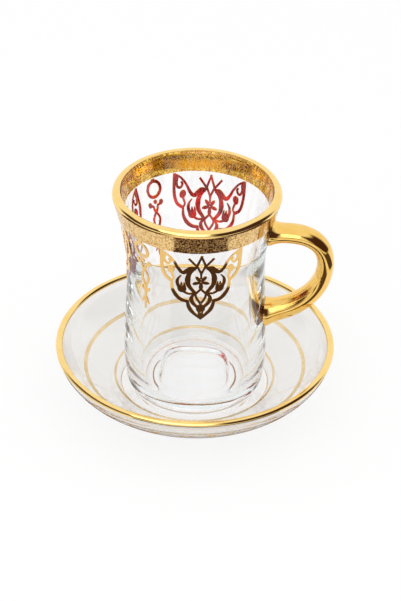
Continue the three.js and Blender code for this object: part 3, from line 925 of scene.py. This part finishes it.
# The room's dark parts: middle and half width round the glass, lowest and highest rise, in degrees
DARK_PARTS = [
    (70, 46, -2, 54),
    (-70, 42, 8, 40),
    (0, 40, 1, 7),
]
# How soft their edges are: at the sides, and at the level edges with what each degree of rise adds
DARK_SIDE_SOFTNESS = 6
DARK_EDGE_SOFTNESS = 1
DARK_EDGE_SOFTENING = 1 / 12
LAMP_PLACE = (-200, -730, 720)
LAMP_AIM = (0, 0, 50)
LAMP_SIZE = (1000, 700)
LAMP_WATTS = 3
# Camera, with angles in degrees: CAMERA_SIDE carries it round the glass
CAMERA_DISTANCE = 666.1
CAMERA_HEIGHT = 503.3
CAMERA_PITCH = 34.53
CAMERA_YAW = 0.18
CAMERA_ROLL = 0.98
CAMERA_SIDE = 3.5
CAMERA_CLIP = (50, 50000)
SENSOR_WIDTH = 36
FOCAL_PIXELS = 1900
PICTURE_PIXELS = 601
LIGHT_BOUNCES = 32


def floor_material():
    """A white table that stays white in the picture and still takes a faint shadow."""
    material, tree, shader = new_material("white_table")
    shader.inputs["Base Color"].default_value = (0.9, 0.9, 0.9, 1)
    shader.inputs["Roughness"].default_value = 0.9
    shader.inputs["Specular IOR Level"].default_value = 0.0
    white = add(tree, "ShaderNodeEmission", Color=(1, 1, 1, 1), Strength=1.0)
    path = tree.nodes.new("ShaderNodeLightPath")
    seen = path.outputs["Is Camera Ray"]
    for name in ("Is Glossy Ray", "Is Transmission Ray"):
        seen = combined(tree, "MAXIMUM", seen, path.outputs[name])
    mix = tree.nodes.new("ShaderNodeMixShader")
    tree.links.new(spread(tree, seen, 0, 1, 0, TABLE_WHITE_SHARE), mix.inputs["Fac"])
    tree.links.new(shader.outputs["BSDF"], mix.inputs[1])
    tree.links.new(white.outputs["Emission"], mix.inputs[2])
    tree.links.new(mix.outputs["Shader"], tree.nodes["Material Output"].inputs["Surface"])
    return material


def build_table():
    """A wide flat table under the saucer."""
    mesh = bmesh.new()
    half = TABLE_SIZE * MM / 2
    bmesh.ops.create_grid(mesh, x_segments=TABLE_PARTS, y_segments=TABLE_PARTS, size=half)
    data = bpy.data.meshes.new("table")
    mesh.to_mesh(data)
    mesh.free()
    data.materials.append(floor_material())
    made = bpy.data.objects.new("table", data)
    bpy.context.scene.collection.objects.link(made)


def dark_material():
    """A dull dark cloth, also laid under the saucer as painted shade."""
    material, _, shader = new_material("dark_cloth_and_shade")
    shader.inputs["Base Color"].default_value = (*DARK_COLOUR, 1)
    shader.inputs["Roughness"].default_value = 1.0
    return material


def dark_sheet(name, places, faces, material):
    """A dark sheet that is only seen mirrored, in the gold and on the face of the glass."""
    data = bpy.data.meshes.new(name)
    data.from_pydata([Vector(p) * MM for p in places], [], faces)
    data.materials.append(material)
    made = bpy.data.objects.new(name, data)
    bpy.context.scene.collection.objects.link(made)
    made.visible_camera = False
    made.visible_diffuse = False
    made.visible_shadow = False
    made.visible_transmission = False


def ring_sheet(name, inner, inner_span, outer, outer_span, material):
    """Part of a flat ring on the table. Each edge spans two angles from the front, in degrees."""
    places = []
    for i in range(SHEET_STEPS + 1):
        for r, (start, end) in ((inner, inner_span), (outer, outer_span)):
            angle = math.radians(start + (end - start) * i / SHEET_STEPS)
            places.append((r * math.sin(angle), -r * math.cos(angle), SHEET_HEIGHT))
    faces = [(2 * i, 2 * i + 1, 2 * i + 3, 2 * i + 2) for i in range(SHEET_STEPS)]
    dark_sheet(name, places, faces, material)


def side_cloth(name, near, far, material):
    """A long cloth on the table beside the saucer."""
    places = [
        (near, SIDE_CLOTH_FRONT, SHEET_HEIGHT), (far, SIDE_CLOTH_FRONT, SHEET_HEIGHT),
        (far, SIDE_CLOTH_BACK, SHEET_HEIGHT), (near, SIDE_CLOTH_BACK, SHEET_HEIGHT),
    ]
    dark_sheet(name, places, [(0, 1, 2, 3)], material)


build_table()
dark_cloth_and_shade = dark_material()
ring_sheet(
    "front_cloth", CLOTH_INNER_RADIUS, CLOTH_INNER_SPAN, CLOTH_OUTER_RADIUS, CLOTH_OUTER_SPAN, dark_cloth_and_shade,
)
# A dark ring on the table under the saucer, seen only mirrored: painted shade, for the saucer's contact
# shadow.
ring_sheet("saucer_shade", SHADE_INNER_RADIUS, FULL_TURN, SHADE_OUTER_RADIUS, FULL_TURN, dark_cloth_and_shade)
side_cloth("left_cloth", LEFT_CLOTH_EDGE, LEFT_CLOTH_EDGE - SIDE_CLOTH_WIDTH, dark_cloth_and_shade)
side_cloth("right_cloth", RIGHT_CLOTH_EDGE, RIGHT_CLOTH_EDGE + SIDE_CLOTH_WIDTH, dark_cloth_and_shade)


def dark_part(tree, level, height, middle, half_width, low, high):
    """One where the room is dark and zero elsewhere, with soft edges."""
    turn = math.radians(middle)
    near = tree.nodes.new("ShaderNodeVectorMath")
    near.operation = "DOT_PRODUCT"
    near.inputs[1].default_value = (math.sin(turn), -math.cos(turn), 0)
    tree.links.new(level, near.inputs[0])
    wide = math.cos(math.radians(half_width + DARK_SIDE_SOFTNESS))
    narrow = math.cos(math.radians(half_width - DARK_SIDE_SOFTNESS))
    dark = spread(tree, near.outputs["Value"], wide, narrow, 0, 1)
    for edge, before, after in ((low, 0, 1), (high, 1, 0)):
        soft = DARK_EDGE_SOFTNESS + edge * DARK_EDGE_SOFTENING
        below = math.sin(math.radians(edge - soft))
        above = math.sin(math.radians(edge + soft))
        dark = combined(tree, "MULTIPLY", dark, spread(tree, height, below, above, before, after))
    return dark


def build_world():
    """White all round, like a light tent, with the dark parts of the room seen in the gold and the glass."""
    world = bpy.data.worlds.new("light_tent")
    world.use_nodes = True
    tree = world.node_tree
    place = tree.nodes.new("ShaderNodeTexCoord")
    height = tree.nodes.new("ShaderNodeSeparateXYZ")
    tree.links.new(place.outputs["Generated"], height.inputs[0])
    flat = tree.nodes.new("ShaderNodeVectorMath")
    flat.operation = "MULTIPLY"
    flat.inputs[1].default_value = (1, 1, 0)
    tree.links.new(place.outputs["Generated"], flat.inputs[0])
    level = tree.nodes.new("ShaderNodeVectorMath")
    level.operation = "NORMALIZE"
    tree.links.new(flat.outputs["Vector"], level.inputs[0])
    path = tree.nodes.new("ShaderNodeLightPath")
    parts = [dark_part(tree, level.outputs["Vector"], height.outputs["Z"], *part) for part in DARK_PARTS]
    dark = parts[0]
    for part in parts[1:]:
        dark = combined(tree, "MAXIMUM", dark, part)
    plain = combined(tree, "MAXIMUM", path.outputs["Is Camera Ray"], path.outputs["Is Diffuse Ray"])
    dark = combined(tree, "MULTIPLY", dark, spread(tree, plain, 0, 1, 1, 0))
    tent = two_colours(tree, dark, (1, 1, 1), DARK_COLOUR)
    tree.links.new(tent, tree.nodes["Background"].inputs["Color"])
    bpy.context.scene.world = world


def build_lamp():
    """A soft box in front of the glass, above it and a little to the left."""
    data = bpy.data.lights.new("front_box", "AREA")
    data.shape = "RECTANGLE"
    width, height = LAMP_SIZE
    data.size = width * MM
    data.size_y = height * MM
    data.energy = LAMP_WATTS
    lamp = bpy.data.objects.new("front_box", data)
    place = Vector(LAMP_PLACE)
    lamp.location = place * MM
    lamp.rotation_euler = (Vector(LAMP_AIM) - place).to_track_quat("-Z", "Y").to_euler()
    bpy.context.scene.collection.objects.link(lamp)


build_world()
build_lamp()


def build_camera():
    """A long lens at the picture's place and tilt. The sensor's width spans the picture's longer side."""
    pitch = math.radians(CAMERA_PITCH)
    yaw = math.radians(CAMERA_YAW)
    roll = math.radians(CAMERA_ROLL)
    forward = Vector((math.sin(yaw) * math.cos(pitch), math.cos(yaw) * math.cos(pitch), -math.sin(pitch)))
    right = Vector((math.cos(yaw), -math.sin(yaw), 0))
    up = right.cross(forward)
    tilted_right = right * math.cos(roll) + up * math.sin(roll)
    tilted_up = up * math.cos(roll) - right * math.sin(roll)
    turn = Matrix((tilted_right, tilted_up, -forward)).transposed().to_4x4()
    data = bpy.data.cameras.new("photo_camera")
    data.sensor_width = SENSOR_WIDTH
    data.lens = FOCAL_PIXELS * SENSOR_WIDTH / PICTURE_PIXELS
    nearest, farthest = CAMERA_CLIP
    data.clip_start = nearest * MM
    data.clip_end = farthest * MM
    camera = bpy.data.objects.new("photo_camera", data)
    place = Matrix.Translation(Vector((0, -CAMERA_DISTANCE, CAMERA_HEIGHT)) * MM)
    camera.matrix_world = Matrix.Rotation(math.radians(CAMERA_SIDE), 4, "Z") @ place @ turn
    bpy.context.scene.collection.objects.link(camera)
    bpy.context.scene.camera = camera


build_camera()
bpy.context.scene.view_settings.view_transform = "Standard"
bpy.context.scene.cycles.max_bounces = LIGHT_BOUNCES
bpy.context.scene.cycles.glossy_bounces = LIGHT_BOUNCES
bpy.context.scene.cycles.transmission_bounces = LIGHT_BOUNCES
